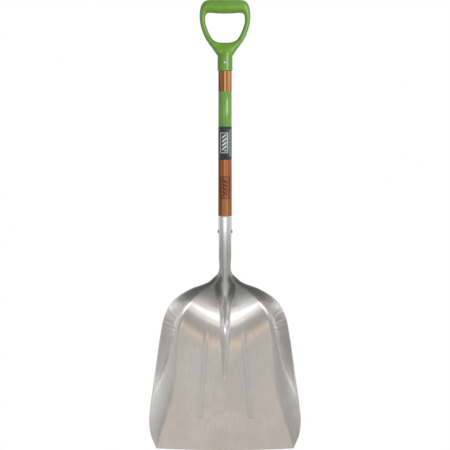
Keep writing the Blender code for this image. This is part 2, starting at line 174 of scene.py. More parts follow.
FROG_ROUNDNESS = ((-0.6430, 1.50), (-0.6940, 1.45), (-0.7250, 1.25), (-0.7600, 1.05), (-0.8000, 1.0))
ROW_SPANS = (
    (-0.5173, 14), (-0.5800, 22), (-0.6430, 60), (-0.7400, 80), (-0.8300, 34), (RIB_END_Z + 0.004, 8),
    (RIB_END_Z - RIB_END_LENGTH - 0.004, 22), (FRONT_EDGE_Z, 0),
)
FROG_COLUMNS = 18
INNER_COLUMNS = 7
RIB_COLUMNS = 8
OUTER_COLUMNS = 8
WALL_COLUMNS = 24
HALF_POINTS = FROG_COLUMNS + INNER_COLUMNS + RIB_COLUMNS + OUTER_COLUMNS + WALL_COLUMNS + 1

# Stamping pleats at the shoulders, fanned round a centre in x and z
PLEAT_CENTRE = (0.082, -0.822)
PLEAT_HEIGHT = 0.0016
PLEAT_MIDDLE_TURN = 0.55
PLEAT_FAN = 0.50
PLEAT_START_Z = -0.700
PLEAT_FULL_Z = -0.725

# The grip's loop from its top round to its collar: inner x and z, outer x and z, half depth
GRIP_STATIONS = (
    (0.0000, 0.0000, 0.0000, 0.0357, 0.0150),
    (0.0200, 0.0006, 0.0200, 0.0357, 0.0149),
    (0.0360, 0.0018, 0.0390, 0.0355, 0.0145),
    (0.0455, 0.0008, 0.0510, 0.0328, 0.0140),
    (0.0495, -0.0045, 0.0597, 0.0235, 0.0130),
    (0.0506, -0.0125, 0.0640, 0.0085, 0.0120),
    (0.0504, -0.0205, 0.0650, -0.0065, 0.0115),
    (0.0487, -0.0290, 0.0638, -0.0220, 0.0113),
    (0.0440, -0.0425, 0.0600, -0.0390, 0.0113),
    (0.0368, -0.0575, 0.0523, -0.0590, 0.0116),
    (0.0290, -0.0675, 0.0428, -0.0750, 0.0126),
    (0.0182, -0.0724, 0.0312, -0.0905, 0.0140),
    (0.0090, -0.0737, 0.0170, -0.1100, 0.0158),
    (0.0000, -0.0738, 0.0000, -0.1180, 0.0168),
)


# Shape helpers


def smooth_through(stations):
    """A function that runs smoothly through (position, value) stations and never overshoots them."""
    at, value = np.array(sorted(stations)).T
    step = np.diff(at)
    slope = np.diff(value) / step
    before, after = slope[:-1], slope[1:]
    turning = before * after <= 0
    total = np.where(turning, 1.0, before + after)
    inner = np.where(turning, 0.0, 2 * before * after / total)
    tangent = np.concatenate([slope[:1], inner, slope[-1:]])

    def value_at(position):
        position = np.clip(position, at[0], at[-1])
        i = np.clip(np.searchsorted(at, position, side="right") - 1, 0, len(step) - 1)
        t = (position - at[i]) / step[i]
        start = (1 + 2 * t) * (1 - t) ** 2 * value[i] + t * (1 - t) ** 2 * step[i] * tangent[i]
        end = t * t * (3 - 2 * t) * value[i + 1] + t * t * (t - 1) * step[i] * tangent[i + 1]
        return start + end

    return value_at


def smooth_step(value, start, end):
    t = np.clip((value - start) / (end - start), 0.0, 1.0)
    return t * t * (3 - 2 * t)


def mesh_object(name, points, faces, finish=None):
    mesh = bpy.data.meshes.new(name)
    mesh.from_pydata([tuple(map(float, point)) for point in points], [], faces)
    mesh.update()
    made = bpy.data.objects.new(name, mesh)
    bpy.context.scene.collection.objects.link(made)
    if finish:
        mesh.materials.append(finish)
    mesh.shade_smooth()
    return made


def apply_modifiers(obj):
    graph = bpy.context.evaluated_depsgraph_get()
    baked = bpy.data.meshes.new_from_object(obj.evaluated_get(graph))
    obj.modifiers.clear()
    obj.data = baked
    return obj


def lathe(name, profile, finish, steps=ROUND_STEPS, sharp=35):
    """A solid of revolution about Z from a closed or axis-to-axis (r, z) profile running down its outside."""
    points = []
    faces = []
    rings = []
    for radius, z in profile:
        if radius == 0:
            rings.append([len(points)] * steps)
            points.append((0, 0, z))
            continue
        rings.append(list(range(len(points), len(points) + steps)))
        for step in range(steps):
            turn = 2 * math.pi * step / steps
            points.append((radius * math.cos(turn), radius * math.sin(turn), z))
    pairs = list(zip(rings[:-1], rings[1:]))
    if profile[0][0] and profile[-1][0]:
        pairs.append((rings[-1], rings[0]))
    for upper, lower in pairs:
        for step in range(steps):
            beside = (step + 1) % steps
            corners = [upper[step], lower[step], lower[beside], upper[beside]]
            corners = list(dict.fromkeys(corners))
            if len(corners) > 2:
                faces.append(corners)
    made = mesh_object(name, points, faces, finish)
    made.data.set_sharp_from_angle(angle=math.radians(sharp))
    return made


def refined(profile, spacing):
    """The profile with extra points along its long straight stretches."""
    made = []
    for (r0, z0), (r1, z1) in zip(profile[:-1], profile[1:]):
        parts = max(1, int(math.hypot(r1 - r0, z1 - z0) / spacing))
        for part in range(parts):
            share = part / parts
            made.append((r0 + share * (r1 - r0), z0 + share * (z1 - z0)))
    return [*made, profile[-1]]


# Scoop


def floor_y(z):
    return (z - FLOOR_CROSS_Z) * FLOOR_LIFT


def rib_rise(x, z, rib_x):
    across = np.cos(math.pi / 2 * np.clip(np.abs(x - rib_x) / RIB_HALF_WIDTH, 0.0, 1.0)) ** 2
    start = smooth_step(z, RIB_START_Z, RIB_FULL_Z)
    end = smooth_step(z, RIB_END_Z - RIB_END_LENGTH, RIB_END_Z)
    return RIB_HEIGHT * across * start * end


def pleat_rise(x, z, share, side):
    """Fine pleats that fan out to the rim round each shoulder, where the sheet is drawn in."""
    centre_x, centre_z = PLEAT_CENTRE
    turn = np.arctan2(z - centre_z, x - centre_x)
    reach = np.hypot(z - centre_z, x - centre_x)
    wave = (
        np.sin(31 * turn + 1.3 * side)
        + 0.7 * np.sin(47 * turn + 2.1 + 60 * side * reach)
        + 0.5 * np.sin(73 * turn + 0.4 - 30 * reach)
    )
    around = np.exp(-(((turn - PLEAT_MIDDLE_TURN) / PLEAT_FAN) ** 2))
    outwards = smooth_step(share, 0.15, 0.60) * (1 - 0.6 * smooth_step(share, 0.8, 1.0))
    return PLEAT_HEIGHT * wave * around * outwards


class ScoopShape:
    """The stations of the scoop as smooth functions of z."""

    def __init__(self):
        self.socket_radius = smooth_through(SOCKET_RADIUS)
        self.seam_angle = smooth_through(SEAM_ANGLE)
        self.half_width = smooth_through(HALF_WIDTH)
        self.valley_y = smooth_through(VALLEY_Y)
        self.rim_y = smooth_through(RIM_Y)
        self.crease = smooth_through(CREASE)
        self.foot = smooth_through(FROG_FOOT)
        self.rib_x = smooth_through(RIB_X)
        self.crest_y = smooth_through(FROG_CREST_Y)
        self.roundness = smooth_through(FROG_ROUNDNESS)

    def dish_y(self, x, z, crease, rim_x):
        climb = HEEL_SPREAD * (np.hypot(x, HEEL_ROUND) - HEEL_ROUND)
        lower = z - climb
        back = np.where(lower > VALLEY_Y[-1][0], floor_y(lower) - self.valley_y(lower), 0.0)
        inner = floor_y(z) - back
        share = np.clip((x - crease) / (rim_x - crease), 0.0, 1.0) ** WALL_CURVE
        return inner + share * (self.rim_y(z) - inner)

    def frog_rise(self, x, z, foot, valley):
        height = np.maximum(valley - self.crest_y(z), 0.0)
        share = np.clip(x / foot, 0.0, 1.0) ** self.roundness(z)
        return height * np.cos(math.pi / 2 * share) ** 2

    def columns(self, z, foot, crease, rim_x):
        half = min(RIB_HALF_WIDTH, RIB_ROOM * (crease - foot))
        rib_x = float(np.clip(self.rib_x(z), foot + 1.2 * half, crease - 1.2 * half))
        spans = (
            (0.0, foot, FROG_COLUMNS),
            (foot, rib_x - half, INNER_COLUMNS),
            (rib_x - half, rib_x + half, RIB_COLUMNS),
            (rib_x + half, crease, OUTER_COLUMNS),
            (crease, rim_x, WALL_COLUMNS),
        )
        places = [np.linspace(start, end, steps, endpoint=False) for start, end, steps in spans]
        placed = np.concatenate([*places, [rim_x]])
        even = np.linspace(0.0, rim_x, len(placed))
        share = smooth_step(z, EVEN_COLUMNS_Z, SET_COLUMNS_Z)
        return even + share * (placed - even), rib_x

    def dish_half(self, row_z, rim_x, side):
        bow = FRONT_BOW * smooth_step(row_z, WIDEST_Z, FRONT_EDGE_Z)
        room = FLARE_CREASE + (1 - FLARE_CREASE) * smooth_step(row_z, FLARE_END_Z, SET_COLUMNS_Z)
        crease = min(self.crease(row_z + bow), room * rim_x)
        foot = min(self.foot(row_z), 0.9 * crease)
        x, rib_x = self.columns(row_z, foot, crease, rim_x)
        z = row_z + bow * (x / rim_x) ** 2
        dish = self.dish_y(x, z, crease, rim_x)
        frog = self.frog_rise(x, row_z, foot, self.dish_y(0.0, row_z, crease, rim_x))
        share = np.clip((x - crease) / (rim_x - crease), 0.0, 1.0)
        pleats = pleat_rise(x, z, share, side) * smooth_step(row_z, PLEAT_START_Z, PLEAT_FULL_Z)
        return x, dish - frog - rib_rise(x, z, rib_x) - pleats, z

    def socket_half(self, row_z):
        angle = np.radians(self.seam_angle(row_z)) * np.linspace(0, 1, HALF_POINTS)
        radius = self.socket_radius(row_z)
        return radius * np.sin(angle), -radius * np.cos(angle), np.full(HALF_POINTS, row_z)

    def half_row(self, row_z, side):
        socket = np.array(self.socket_half(row_z)).T
        blend = smooth_step(row_z, SOCKET_BLEND_TOP_Z, SOCKET_BLEND_END_Z)
        if blend == 0:
            return socket
        bow = FRONT_BOW * smooth_step(row_z, WIDEST_Z, FRONT_EDGE_Z)
        tube_x = self.socket_radius(row_z)
        rim_x = tube_x + (self.half_width(row_z + bow) - tube_x) / blend - RIM_LEAN
        return socket + blend * (np.array(self.dish_half(row_z, rim_x, side)).T - socket)


def row_levels():
    levels = []
    for (start, steps), (end, _) in zip(ROW_SPANS[:-1], ROW_SPANS[1:]):
        levels.extend(np.linspace(start, end, steps, endpoint=False))
    return [*levels, FRONT_EDGE_Z]


def make_scoop(finish):
    shape = ScoopShape()
    rows = []
    for row_z in row_levels():
        right = shape.half_row(row_z, 1)
        left = shape.half_row(row_z, -1)[:0:-1] * (-1, 1, 1)
        rows.append(np.concatenate([left, right]))
    count = len(rows[0])
    faces = []
    for row in range(len(rows) - 1):
        for column in range(count - 1):
            corner = row * count + column
            faces.append((corner, corner + count, corner + count + 1, corner + 1))
    scoop = mesh_object("scoop_sheet", np.concatenate(rows), faces, finish)
    shell = scoop.modifiers.new("Sheet", "SOLIDIFY")
    shell.thickness = SHEET
    shell.offset = -1
    shell.use_even_offset = True
    rounding = scoop.modifiers.new("Edge", "BEVEL")
    rounding.width = EDGE_ROUNDING
    rounding.segments = 2
    rounding.limit_method = "ANGLE"
    rounding.angle_limit = math.radians(80)
    apply_modifiers(scoop)
    scoop.data.shade_smooth()
    return scoop


# Shaft, wraps and rivets


def make_shaft(finish):
    socket_radius = smooth_through(SOCKET_RADIUS)
    inside = CAD_SHEET + 2 * GAP
    top = SHAFT_HIGH[2]
    end = SHAFT_LOW[2]
    profile = [
        (0, top),
        (TENON_END_RADIUS - TENON_CHAMFER, top),
        (TENON_END_RADIUS, top - TENON_CHAMFER),
        (TENON_RADIUS, GRIP_MOUTH_Z - GAP),
        (SHAFT_RADIUS_UP, GRIP_MOUTH_Z - GAP - SHOULDER_CHAMFER),
        (SHAFT_RADIUS_UP, LABEL_LOW[2]),
        (SHAFT_RADIUS_LOW, SHAFT_FULL_Z),
        (SHAFT_RADIUS_LOW, SOCKET_TOP_Z + GAP),
        (socket_radius(SOCKET_TOP_Z) - inside, SOCKET_TOP_Z + GAP),
    ]
    for z in SHAFT_SEAT_ZS:
        profile.append((float(socket_radius(z)) - inside, z))
    profile += [
        (SHAFT_END_RADIUS, end + SHAFT_END_CHAMFER),
        (SHAFT_END_RADIUS - SHAFT_END_CHAMFER, end),
        (0, end),
    ]
    return lathe("ash_shaft", refined(profile, SHAFT_SPACING), finish)


def make_wrap(name, radius, low, high, finish):
    inside = SHAFT_RADIUS_UP + WRAP_LIFT
    profile = [
        (inside, high),
        (radius - WRAP_EDGE, high),
        (radius, high - WRAP_EDGE),
        (radius, low + WRAP_EDGE),
        (radius - WRAP_EDGE, low),
        (inside, low),
    ]
    return lathe(name, profile, finish, sharp=60)


def make_rivet(name, z, along, low, high, finish):
    """A through rivet with a round, slightly flattened head at each end."""
    half_length = (high - low) / 2
    head_height = SOCKET_RIVET_HEAD if along == "X" else GRIP_RIVET_HEAD
    reach = half_length - head_height
    dome = []
    for ring in range(DOME_STEPS + 1):
        turn = math.pi / 2 * ring / DOME_STEPS
        flat = math.sin(turn) ** 0.9
        dome.append((RIVET_HEAD_RADIUS * flat, reach + head_height * math.cos(turn) ** 0.8))
    dome[0] = (0, dome[0][1])
    dome[-1] = (RIVET_HEAD_RADIUS, reach + RIVET_EDGE)
    half = dome + [(RIVET_HEAD_RADIUS - RIVET_EDGE, reach), (RIVET_SHANK_RADIUS, reach)]
    profile = half + [(radius, -height) for radius, height in reversed(half)]
    rivet = lathe(name, profile, finish, RIVET_ROUND_STEPS)
    rivet.location = (0, 0, z)
    rivet.rotation_euler = (0, math.pi / 2, 0) if along == "X" else (math.pi / 2, 0, 0)
    return rivet


# D-grip


def grip_section(station):
    inner_x, inner_z, outer_x, outer_z, depth = station
    points = []
    for step in range(GRIP_SECTION_POINTS):
        turn = 2 * math.pi * step / GRIP_SECTION_POINTS
        power = 2 / GRIP_ROUNDNESS
        across = math.copysign(abs(math.cos(turn)) ** power, math.cos(turn))
        deep = math.copysign(abs(math.sin(turn)) ** power, math.sin(turn))
        share = (1 + across) / 2
        x = inner_x + share * (outer_x - inner_x)
        z = inner_z + share * (outer_z - inner_z)
        points.append((x, depth * deep, z))
    return points


def grip_loop():
    stations = np.array(GRIP_STATIONS)
    last = len(stations) - 1
    tangent = np.gradient(stations, axis=0)
    half = []
    for step in range(last * GRIP_STEPS_PER_STATION + 1):
        place = step / GRIP_STEPS_PER_STATION
        i = min(int(place), last - 1)
        t = place - i
        start = (1 + 2 * t) * (1 - t) ** 2 * stations[i] + t * (1 - t) ** 2 * tangent[i]
        end = t * t * (3 - 2 * t) * stations[i + 1] + t * t * (t - 1) * tangent[i + 1]
        half.append(grip_section(start + end))
    other = [[(-x, y, z) for x, y, z in section] for section in half[-2:0:-1]]
    sections = half + other
    count = GRIP_SECTION_POINTS
    faces = []
    for row in range(len(sections)):
        here, there = row * count, (row + 1) % len(sections) * count
        for column in range(count):
            beside = (column + 1) % count
            faces.append((here + column, here + beside, there + beside, there + column))
    return mesh_object("grip_loop", sum(sections, []), faces)


def boolean(obj, other, operation):
    made = obj.modifiers.new(other.name, "BOOLEAN")
    made.operation = operation
    made.object = other
    made.solver = "EXACT"
    apply_modifiers(obj)
    bpy.data.objects.remove(other)


def make_grip(finish):
    collar = [
        *COLLAR_DOME,
        (COLLAR_RADIUS, COLLAR_SHOULDER_Z),
        (COLLAR_RADIUS, GRIP_MOUTH_Z + COLLAR_EDGE_HEIGHT),
        (COLLAR_RADIUS - COLLAR_EDGE_DEPTH, GRIP_MOUTH_Z),
        (0, GRIP_MOUTH_Z),
    ]
    grip = lathe("grip_body", collar, finish)
    boolean(grip, grip_loop(), "UNION")
    remesh = grip.modifiers.new("Skin", "REMESH")
    remesh.mode = "VOXEL"
    remesh.voxel_size = GRIP_VOXEL
    smooth = grip.modifiers.new("Fillets", "SMOOTH")
    smooth.factor = 0.5
    smooth.iterations = 6
    apply_modifiers(grip)
    top = SHAFT_HIGH[2]
    bore = [
        (0, top + GAP),
        (TENON_END_RADIUS + GAP, top + GAP),
        (TENON_RADIUS + GAP, GRIP_MOUTH_Z),
        (TENON_RADIUS + GAP, GRIP_MOUTH_Z - BORE_RUN_OUT),
        (0, GRIP_MOUTH_Z - BORE_RUN_OUT),
    ]
    boolean(grip, lathe("grip_bore", bore, None), "DIFFERENCE")
    grip.data.materials.clear()
    grip.data.materials.append(finish)
    grip.data.shade_smooth()
    grip.data.set_sharp_from_angle(angle=math.radians(50))
    return grip


# Materials

# Blend of the painted edge shade
EDGE_SHADE_BLEND = 0.35
# Where the aluminium's painted neck shade fades in and where it ends
NECK_SHADE_TOP_Z = (-0.500, -0.630)
NECK_SHADE_END_Z = (-0.755, -0.700)
WOOD_DARKER_Z = (-0.36, -0.39)
MARK_Z = -0.4450


class Nodes:
    """A short way to write a material's node tree."""

    def __init__(self, name, holder=None):
        self.material = holder or bpy.data.materials.new(name)
        self.material.use_nodes = True
        self.tree = self.material.node_tree
        self.shader = self.tree.nodes.get("Principled BSDF")
        self.place = self.add("ShaderNodeTexCoord").outputs["Object"]

    def add(self, kind, **settings):
        node = self.tree.nodes.new(kind)
        for key, value in settings.items():
            setattr(node, key, value)
        return node

    def link(self, source, target):
        if hasattr(source, "is_output"):
            self.tree.links.new(source, target)
        else:
            target.default_value = source

    def scaled(self, scale, offset=(0, 0, 0)):
        node = self.add("ShaderNodeMapping")
        self.link(self.place, node.inputs["Vector"])
        node.inputs["Scale"].default_value = scale
        node.inputs["Location"].default_value = offset
        return node.outputs["Vector"]

    def noise(self, scale, detail=3.0, roughness=0.5, distortion=0.0, offset=(0, 0, 0)):
        node = self.add("ShaderNodeTexNoise")
        self.link(self.scaled(scale, offset), node.inputs["Vector"])
        node.inputs["Scale"].default_value = 1.0
        node.inputs["Detail"].default_value = detail
        node.inputs["Roughness"].default_value = roughness
        node.inputs["Distortion"].default_value = distortion
        return node.outputs["Fac"]

    def math(self, operation, first, second=0.0, clamp=False):
        node = self.add("ShaderNodeMath", operation=operation, use_clamp=clamp)
        self.link(first, node.inputs[0])
        self.link(second, node.inputs[1])
        return node.outputs[0]

    def range(self, value, low, high, to_low=0.0, to_high=1.0, smooth=True):
        node = self.add("ShaderNodeMapRange", interpolation_type="SMOOTHSTEP" if smooth else "LINEAR")
        self.link(value, node.inputs["Value"])
        for socket, number in zip(("From Min", "From Max", "To Min", "To Max"), (low, high, to_low, to_high)):
            self.link(number, node.inputs[socket])
        return node.outputs["Result"]

    def mix(self, factor, first, second):
        node = self.add("ShaderNodeMix", data_type="RGBA")
        self.link(factor, node.inputs[0])
        self.link((*first, 1) if isinstance(first, tuple) else first, node.inputs[6])
        self.link((*second, 1) if isinstance(second, tuple) else second, node.inputs[7])
        return node.outputs[2]

    def ramp(self, value, stops):
        node = self.add("ShaderNodeValToRGB")
        self.link(value, node.inputs["Fac"])
        elements = node.color_ramp.elements
        while len(elements) < len(stops):
            elements.new(0.5)
        for element, (place, colour) in zip(elements, stops):
            element.position = place
            element.color = (*colour, 1)
        return node.outputs["Color"]

    def xyz(self):
        node = self.add("ShaderNodeSeparateXYZ")
        self.link(self.place, node.inputs[0])
        return node.outputs[0], node.outputs[1], node.outputs[2]

    def box_mask(self, value, middle, half, soft):
        """1 where value is within half of middle."""
        away = self.math("ABSOLUTE", self.math("SUBTRACT", value, middle))
        return self.range(away, half - soft, half + soft, 1.0, 0.0)

    def panel(self, x, z, middle, half, soft):
        """1 inside an upright rectangle, given by its middle and half sizes in x and z."""
        across = self.box_mask(x, middle[0], half[0], soft)
        return self.math("MULTIPLY", across, self.box_mask(z, middle[1], half[1], soft))

    def bump(self, height, strength, distance, before=None):
        node = self.add("ShaderNodeBump")
        node.inputs["Strength"].default_value = strength
        node.inputs["Distance"].default_value = distance
        self.link(height, node.inputs["Height"])
        if before is not None:
            self.link(before, node.inputs["Normal"])
        return node.outputs["Normal"]

    def painted_edge_shade(self, colour, deep, share):
        """Painted edge shade: turns to a darker colour where the surface faces away, so the edges read
        shaded.
        """
        node = self.add("ShaderNodeLayerWeight")
        node.inputs["Blend"].default_value = EDGE_SHADE_BLEND
        return self.mix(self.range(node.outputs["Facing"], 0.15, 0.85, 0.0, share), colour, deep)

    def finish(self, colour, roughness, normal, **constants):
        self.link(colour, self.shader.inputs["Base Color"])
        self.link(roughness, self.shader.inputs["Roughness"])
        if normal is not None:
            self.link(normal, self.shader.inputs["Normal"])
        for socket, value in constants.items():
            self.shader.inputs[socket.replace("_", " ")].default_value = value
        return self.material


def aluminium():
    """Rolled sheet: fine streaks along the shovel, soft cloudy oxide, scuffs and a few long scratches;
    painted shade darkens the socket's neck, which is also rougher.
    """
    n = Nodes("rolled_aluminium")
    streaks = n.noise((900, 900, 14), 4, 0.6)
    bands = n.noise((150, 150, 3), 3, 0.5, offset=(3, 1, 7))
    clouds = n.noise((9, 9, 7), 4, 0.55, 0.6, offset=(5, 2, 1))
    scuffs = n.noise((260, 260, 60), 5, 0.7, offset=(1, 8, 3))
    colour = n.mix(n.range(clouds, 0.35, 0.7), (0.80, 0.785, 0.77), (0.87, 0.865, 0.86))
    colour = n.mix(n.range(bands, 0.4, 0.75, 0.0, 0.35), colour, (0.74, 0.71, 0.69))
    _, _, z = n.xyz()
    # Painted shade: the socket's neck gets a darker base colour; its roughness is raised there too.
    painted_neck_shade = n.math("MULTIPLY", n.range(z, *NECK_SHADE_TOP_Z, 0.0, 0.88), n.range(z, *NECK_SHADE_END_Z))
    colour = n.mix(painted_neck_shade, colour, (0.42, 0.43, 0.41))
    roughness = n.math("ADD", n.range(streaks, 0.2, 0.8, 0.14, 0.22), n.range(clouds, 0.3, 0.7, 0.0, 0.05))
    roughness = n.math("ADD", roughness, n.range(scuffs, 0.55, 0.8, 0.0, 0.04))
    roughness = n.math("ADD", roughness, n.math("MULTIPLY", painted_neck_shade, 0.30))
    normal = n.bump(streaks, 0.08, 0.00010)
    normal = n.bump(clouds, 0.05, 0.0010, normal)
    return n.finish(colour, roughness, normal, Metallic=1.0)


def ash_wood():
    """Varnished ash: straight rings that wander along the shaft, dark pores in the rings, a burnt mark."""
    n = Nodes("varnished_ash")
    x, y, z = n.xyz()
    wander = n.noise((14, 14, 5), 2, 0.5)
    across = n.math("ADD", x, n.math("MULTIPLY", y, 0.35))
    across = n.math("ADD", across, n.math("MULTIPLY", wander, 0.012))
    rings = n.math("SINE", n.math("MULTIPLY", across, 980.0))
    rings = n.range(rings, -0.5, 0.9)
    streak = n.noise((130, 130, 1.6), 1, 0.5, offset=(4, 9, 5))
    pores = n.noise((1500, 1500, 28), 3, 0.6, offset=(2, 4, 6))
    fibre = n.noise((420, 420, 7), 4, 0.55, offset=(7, 3, 2))
    tone = n.noise((40, 40, 4), 3, 0.5, offset=(1, 1, 4))
    colour = n.ramp(
        n.math("ADD", n.math("MULTIPLY", rings, 0.32), n.math("MULTIPLY", fibre, 0.70)),
        ((0.15, (0.64, 0.320, 0.105)), (0.45, (0.44, 0.180, 0.045)), (0.85, (0.175, 0.048, 0.009))),
    )
    dark = n.math("MULTIPLY", n.range(pores, 0.56, 0.70), rings)
    colour = n.mix(n.range(streak, 0.50, 0.62, 0.0, 0.65), colour, (0.16, 0.045, 0.010))
    colour = n.mix(n.range(streak, 0.48, 0.36, 0.0, 0.85), colour, (0.82, 0.46, 0.185))
    colour = n.mix(n.math("MULTIPLY", dark, 0.75), colour, (0.13, 0.040, 0.012))
    # Painted shade: the shaft's +x side is darkened.
    painted_right_shade = n.range(n.math("ADD", x, n.math("MULTIPLY", wander, 0.010)), 0.012, 0.024, 0.0, 0.50)
    colour = n.mix(painted_right_shade, colour, (0.14, 0.034, 0.006))
    colour = n.mix(n.range(tone, 0.4, 0.7, 0.0, 0.30), colour, (0.46, 0.15, 0.035))
    colour = n.mix(n.range(z, *WOOD_DARKER_Z, 0.0, 0.38), colour, (0.26, 0.055, 0.010))
    # Painted shade: darker towards the shaft's edges
    colour = n.painted_edge_shade(colour, (0.10, 0.022, 0.004), 0.7)
    mark, edge = burnt_mark(n, x, y, z)
    colour = n.mix(n.math("MULTIPLY", mark, 0.50), colour, (0.17, 0.038, 0.014))
    colour = n.mix(n.math("MULTIPLY", edge, 0.88), colour, (0.035, 0.006, 0.003))
    roughness = n.range(fibre, 0.2, 0.8, 0.42, 0.56)
    height = n.math("SUBTRACT", n.math("MULTIPLY", fibre, 0.5), n.math("MULTIPLY", dark, 1.0))
    height = n.math("SUBTRACT", height, n.math("MULTIPLY", edge, 1.2))
    normal = n.bump(height, 0.35, 0.00025)
    return n.finish(colour, roughness, normal, Specular_IOR_Level=0.28)


def burnt_mark(n, x, y, z):
    """A plain framed panel with slanted bars, burnt into the shaft's front."""
    front = n.range(y, -0.002, -0.006)
    middle = (0.0, MARK_Z)
    panel = n.panel(x, z, middle, (0.0118, 0.0285), 0.0004)
    inside = n.panel(x, z, middle, (0.0104, 0.0270), 0.0003)
    slant = n.math("SINE", n.math("MULTIPLY", n.math("ADD", z, n.math("MULTIPLY", x, 0.6)), 640.0))
    bars = n.math("MULTIPLY", n.range(slant, 0.1, 0.4), n.panel(x, z, middle, (0.0066, 0.0215), 0.0004))
    frame_line = n.math("SUBTRACT", panel, inside)
    edge = n.math("MULTIPLY", n.math("MAXIMUM", frame_line, bars), front)
    return n.math("MULTIPLY", panel, front), edge


def green_plastic():
    """Moulded grip: even green, faint swirls and mould texture, and a parting line along the middle."""
    n = Nodes("green_plastic")
    _, y, _ = n.xyz()
    swirl = n.noise((30, 30, 30), 3, 0.5, 1.2)
    grain = n.noise((1800, 1800, 1800), 2, 0.5)
    wear = n.noise((120, 120, 120), 5, 0.65, offset=(4, 4, 4))
    colour = n.mix(n.range(swirl, 0.3, 0.7), (0.135, 0.315, 0.028), (0.165, 0.355, 0.040))
    colour = n.mix(n.range(wear, 0.60, 0.78, 0.0, 0.25), colour, (0.23, 0.40, 0.10))
    parting = n.box_mask(y, 0.0, 0.00022, 0.00012)
    colour = n.mix(n.math("MULTIPLY", parting, 0.30), colour, (0.10, 0.24, 0.03))
    # Painted shade: darker towards the grip's edges
    colour = n.painted_edge_shade(colour, (0.030, 0.085, 0.006), 0.85)
    roughness = n.math("ADD", n.range(grain, 0.3, 0.7, 0.26, 0.32), n.range(wear, 0.5, 0.8, 0.0, 0.10))
    normal = n.bump(grain, 0.03, 0.0001)
    normal = n.bump(parting, 0.4, 0.0002, normal)
    normal = n.bump(swirl, 0.03, 0.002, normal)
    return n.finish(colour, roughness, normal, IOR=1.5)


def green_film():
    """Glossy green film with a slight orange peel and rubbed edges."""
    n = Nodes("green_film")
    peel = n.noise((160, 160, 60), 3, 0.5)
    rub = n.noise((420, 420, 120), 5, 0.7, offset=(2, 2, 2))
    colour = n.mix(n.range(peel, 0.3, 0.7), (0.150, 0.335, 0.050), (0.170, 0.365, 0.065))
    colour = n.mix(n.range(rub, 0.66, 0.80, 0.0, 0.45), colour, (0.36, 0.50, 0.26))
    # Painted shade: darker towards the band's edges
    colour = n.painted_edge_shade(colour, (0.045, 0.120, 0.018), 0.7)
    normal = n.bump(peel, 0.015, 0.0001)
    roughness = n.range(rub, 0.3, 0.8, 0.24, 0.34)
    return n.finish(colour, roughness, normal, Coat_Weight=0.3, Coat_Roughness=0.20)


def label_film():
    """Black printed film: a pale frame round pale slanted bars, small ticks beside it."""
    n = Nodes("label_film")
    x, y, z = n.xyz()
    front = n.range(y, 0.000, -0.003)
    middle = (-0.0020, (LABEL_LOW[2] + LABEL_HIGH[2]) / 2 + 0.0010)
    panel = n.panel(x, z, middle, (0.0098, 0.0262), 0.0003)
    inside = n.panel(x, z, middle, (0.0082, 0.0246), 0.0003)
    slant = n.math("SINE", n.math("MULTIPLY", n.math("SUBTRACT", z, n.math("MULTIPLY", x, 0.8)), 620.0))
    bars = n.math("MULTIPLY", n.range(slant, -0.25, 0.05), n.panel(x, z, middle, (0.0056, 0.0215), 0.0003))
    tick_rows = n.range(n.math("SINE", n.math("MULTIPLY", z, 2600.0)), 0.1, 0.5)
    ticks = n.math("MULTIPLY", tick_rows, n.box_mask(x, 0.0125, 0.0020, 0.0004))
    ticks = n.math("MULTIPLY", ticks, n.box_mask(z, middle[1], 0.034, 0.0005))
    outline = n.math("SUBTRACT", panel, inside, clamp=True)
    print_mask = n.math("MULTIPLY", n.math("MAXIMUM", outline, bars), front)
    tick_mask = n.math("MULTIPLY", ticks, front)
    rub = n.noise((500, 500, 160), 5, 0.7)
    colour = n.mix(n.range(rub, 0.3, 0.8), (0.020, 0.027, 0.024), (0.036, 0.043, 0.041))
    colour = n.mix(print_mask, colour, (0.60, 0.66, 0.60))
    colour = n.mix(tick_mask, colour, (0.50, 0.53, 0.51))
    colour = n.mix(n.range(rub, 0.70, 0.82, 0.0, 0.3), colour, (0.20, 0.21, 0.21))
    roughness = n.range(rub, 0.3, 0.8, 0.28, 0.45)
    normal = n.bump(rub, 0.10, 0.0002)
    return n.finish(colour, roughness, normal, Coat_Weight=0.10, Coat_Roughness=0.3)


def rivet_steel():
    """Bright zinc with darker pits and hammer marks."""
    n = Nodes("rivet_steel")
    pits = n.noise((700, 700, 700), 4, 0.6)
    marks = n.noise((260, 260, 260), 2, 0.5, offset=(3, 3, 3))
    colour = n.mix(n.range(pits, 0.45, 0.75), (0.56, 0.56, 0.55), (0.34, 0.34, 0.34))
    roughness = n.range(pits, 0.3, 0.7, 0.24, 0.42)
    normal = n.bump(marks, 0.35, 0.0008)
    return n.finish(colour, roughness, normal, Metallic=1.0)


def pale_floor():
    n = Nodes("pale_floor")
    mottle = n.noise((3, 3, 3), 3, 0.5)
    colour = n.mix(mottle, (0.90, 0.90, 0.895), (0.93, 0.93, 0.925))
    return n.finish(colour, n.range(mottle, 0.3, 0.7, 0.75, 0.85), None)


# Stage

FLOOR_RADIUS = 1.2
FLOOR_DROP = 0.065
FLOOR_THICKNESS = 0.01
CAMERA_DISTANCE = 12.0
VIEW_WIDTH = 1.1511
VIEW_MIDDLE_Z = -0.5404
SENSOR_WIDTH = 36

# Soft lights: name, place, aim, size, energy, and whether surfaces mirror it.
# They light only the LIT pieces, so that the bare metal shows the studio alone.
LIGHTS = (
    ("key", (2.1, -2.7, 0.2), (0, 0, -0.3), (1.5, 2.3), 80, True),
    ("fill", (-2.2, -2.2, 0.6), (0, 0, -0.5), (0.6, 1.6), 14, False),
    ("back", (0.6, 2.8, 0.8), (0, 0, -0.5), (1.2, 1.6), 30, False),
)
LIT = ("ash_shaft", "grip_body", "band_film", "label_sleeve", "floor")


